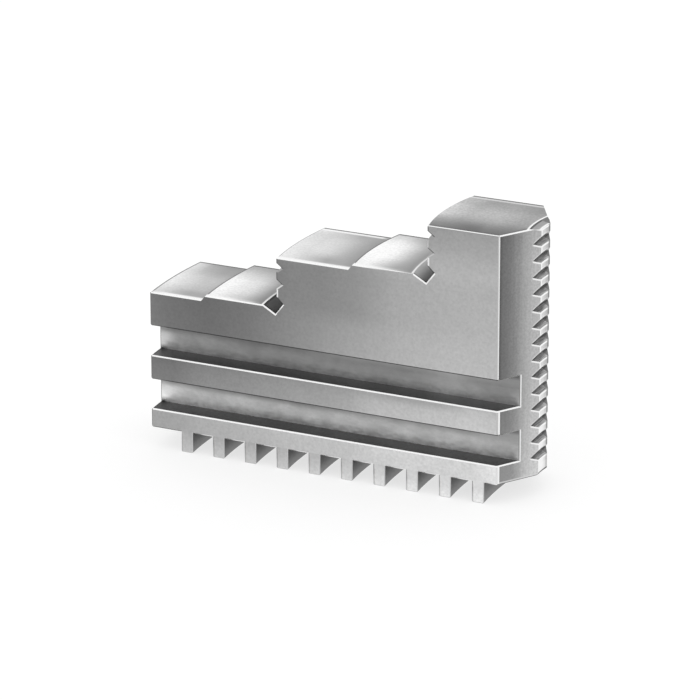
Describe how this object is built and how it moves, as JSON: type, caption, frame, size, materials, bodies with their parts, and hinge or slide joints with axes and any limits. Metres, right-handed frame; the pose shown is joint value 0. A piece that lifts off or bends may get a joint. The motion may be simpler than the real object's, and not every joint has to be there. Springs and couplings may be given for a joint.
{
  "type": "hard chuck jaw",
  "caption": "Hard steel jaw of a scroll chuck: stepped gripping faces with notches and reliefs, side guide grooves, a serrated tip and curved scroll teeth.",
  "frame": {"origin": "under the middle of the jaw's outline, on the plane of the scroll teeth's tips", "axes": "+X towards the chuck axis, +Y across the jaw, +Z along the chuck axis from the scroll teeth to the steps"},
  "size_m": [0.086, 0.0228, 0.0583],
  "materials": {
    "ground_steel": "ground, with bright broken edges"
  },
  "bodies": {
    "root": {"chuck_jaw": "ground_steel"}
  },
  "joints": []
}
